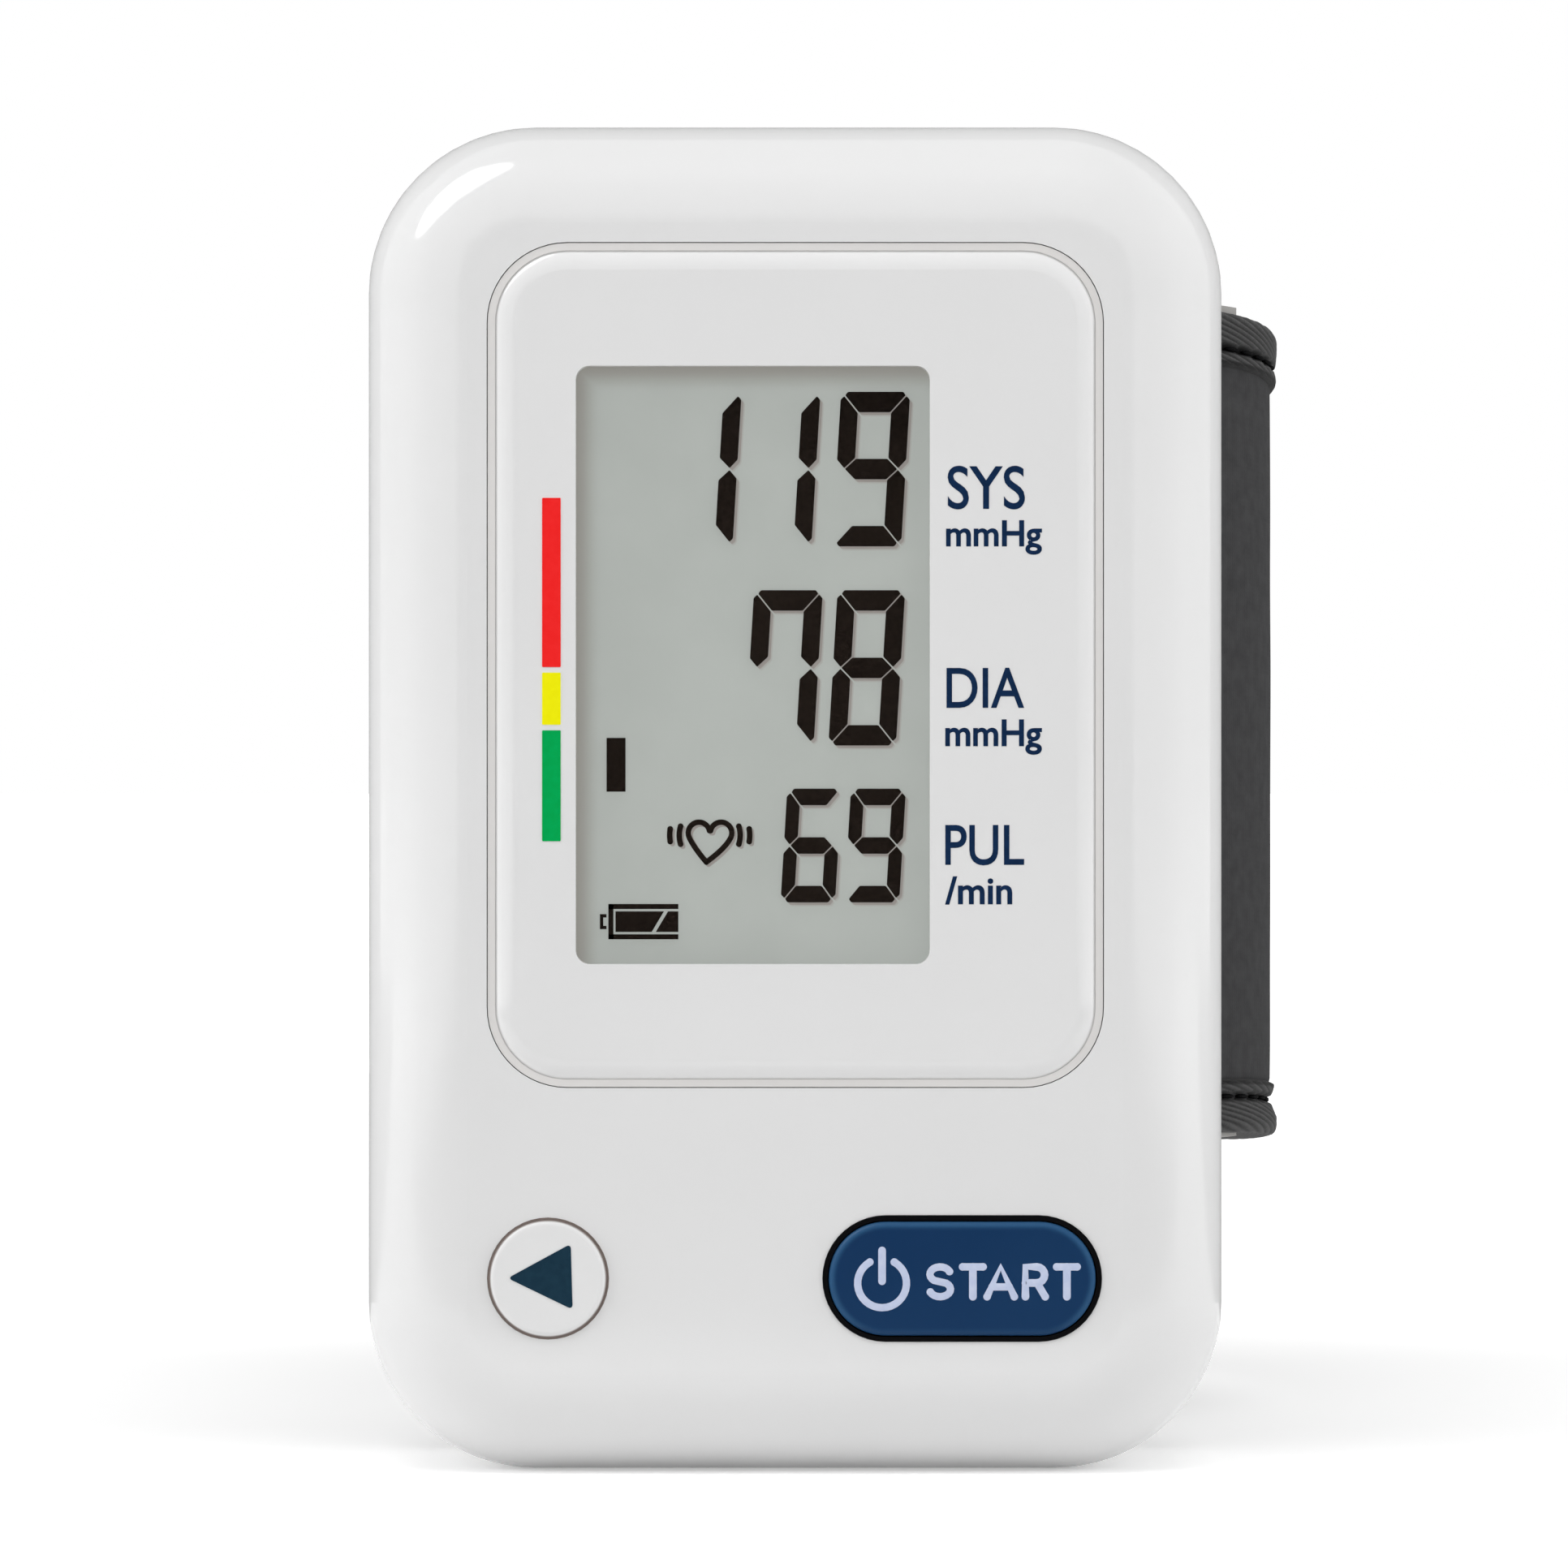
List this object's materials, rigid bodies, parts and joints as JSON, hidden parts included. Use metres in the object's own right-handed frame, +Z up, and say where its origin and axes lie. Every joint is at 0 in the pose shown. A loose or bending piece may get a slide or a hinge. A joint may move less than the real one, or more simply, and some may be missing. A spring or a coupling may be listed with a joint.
{
  "type": "wrist blood pressure monitor",
  "caption": "Upright white housing with a display window, a round key and a pill-shaped start key, and a curled fabric wrist cuff on a saddle behind it.",
  "frame": {"origin": "middle of the housing's bottom face, which the unit stands on, half way through the housing's depth", "axes": "+X to the viewer's right, +Y away from the display towards the cuff, +Z up the housing and along the cuff's axis"},
  "size_m": [0.063, 0.0875, 0.088],
  "materials": {
    "case_white": "satin gloss",
    "panel_white": "satin gloss",
    "window_clear": "clear",
    "display_grey": "matt polariser",
    "reflector_grey": "matt",
    "frame_white": "matt",
    "zebra_rubber": "matt",
    "board_green": "solder mask",
    "part_black": "moulded",
    "stem_tan": "moulded",
    "screw_steel": "zinc plated",
    "contact_nickel": "nickel plated",
    "cell_wrap": "printed sleeve, plain",
    "motor_steel": "plated can",
    "rotor_copper": "wound",
    "silicone": "translucent silicone",
    "bladder_rubber": "matt",
    "nipple_plastic": "moulded",
    "saddle_grey": "satin",
    "start_navy": "gloss",
    "bezel_black": "satin",
    "curler_clear": "clear sheet",
    "cuff_fabric": "smooth knit",
    "lining_fabric": "brushed knit",
    "tape_fabric": "twill tape",
    "loop_fabric": "loop pile",
    "hook_plastic": "hook tape",
    "foam": "thin foam"
  },
  "bodies": {
    "main": {"front_case": "case_white", "rear_case": "case_white", "case_screws": "screw_steel", "display_panel": "panel_white", "display_window": "window_clear", "lcd_glass": "display_grey", "lcd_reflector": "reflector_grey", "lcd_frame": "frame_white", "zebra_strip": "zebra_rubber", "main_board": "board_green", "board_screws": "screw_steel", "controller_chip": "part_black", "buzzer": "part_black", "memory_switch": "part_black", "start_bezel": "bezel_black", "start_switch": "part_black", "battery_left": "cell_wrap", "battery_right": "cell_wrap", "contact_bridge": "contact_nickel", "contact_plus": "contact_nickel", "contact_minus": "contact_nickel", "battery_springs": "contact_nickel", "pump_motor": "motor_steel", "pump_head": "part_black", "valve_body": "part_black", "pressure_sensor": "nipple_plastic", "air_manifold": "silicone", "bladder_nipple": "nipple_plastic", "air_bladder": "bladder_rubber", "cuff_saddle": "saddle_grey", "saddle_screws": "screw_steel", "cuff_curler": "curler_clear", "cuff_lining": "lining_fabric", "cuff_cover_left": "cuff_fabric", "cuff_cover_right": "cuff_fabric", "cuff_tape_left": "tape_fabric", "cuff_tape_right": "tape_fabric", "loop_patch": "loop_fabric"},
    "memory_key": {"memory_button": "case_white"},
    "start_key": {"start_button": "start_navy"},
    "memory_switch_plunger": {"memory_switch_stem": "stem_tan"},
    "start_switch_plunger": {"start_switch_stem": "stem_tan"},
    "cover": {"battery_cover": "case_white"},
    "strap": {"strap_cover": "cuff_fabric", "strap_lining": "lining_fabric", "strap_padding": "foam", "strap_curler": "curler_clear", "strap_tape": "tape_fabric", "hook_patch": "hook_plastic"},
    "rotor": {"pump_rotor": "rotor_copper"},
    "valve_pin": {"valve_plunger": "screw_steel"}
  },
  "joints": [
    {"name": "memory_press", "type": "slide", "parent": "main", "child": "memory_key", "axis": [0, 1, 0], "range_m": [0, 0.0005], "stiffness_N_per_m": 1200},
    {"name": "start_press", "type": "slide", "parent": "main", "child": "start_key", "axis": [0, 1, 0], "range_m": [0, 0.0005], "stiffness_N_per_m": 1200},
    {"name": "memory_switch_press", "type": "slide", "parent": "main", "child": "memory_switch_plunger", "axis": [0, 1, 0], "range_m": [0, 0.0005]},
    {"name": "start_switch_press", "type": "slide", "parent": "main", "child": "start_switch_plunger", "axis": [0, 1, 0], "range_m": [0, 0.0005]},
    {"name": "cover_slide", "type": "slide", "parent": "main", "child": "cover", "axis": [-1, 0, 0], "range_m": [0, 0.02]},
    {"name": "strap_open", "type": "hinge", "parent": "main", "child": "strap", "pos_m": [0.03299, 0.03018, 0.0493], "axis": [0, 0, -1], "range_deg": [0, 75]},
    {"name": "rotor_spin", "type": "hinge", "parent": "main", "child": "rotor", "pos_m": [0.0196, 0.0031, 0.03], "axis": [0, 0, 1], "continuous": true},
    {"name": "valve_move", "type": "slide", "parent": "main", "child": "valve_pin", "axis": [0, 0, -1], "range_m": [0, 0.0006], "stiffness_N_per_m": 60}
  ],
  "couplings": [
    {"joint": "memory_switch_press", "follows": "memory_press", "ratio": 1},
    {"joint": "start_switch_press", "follows": "start_press", "ratio": 1}
  ]
}
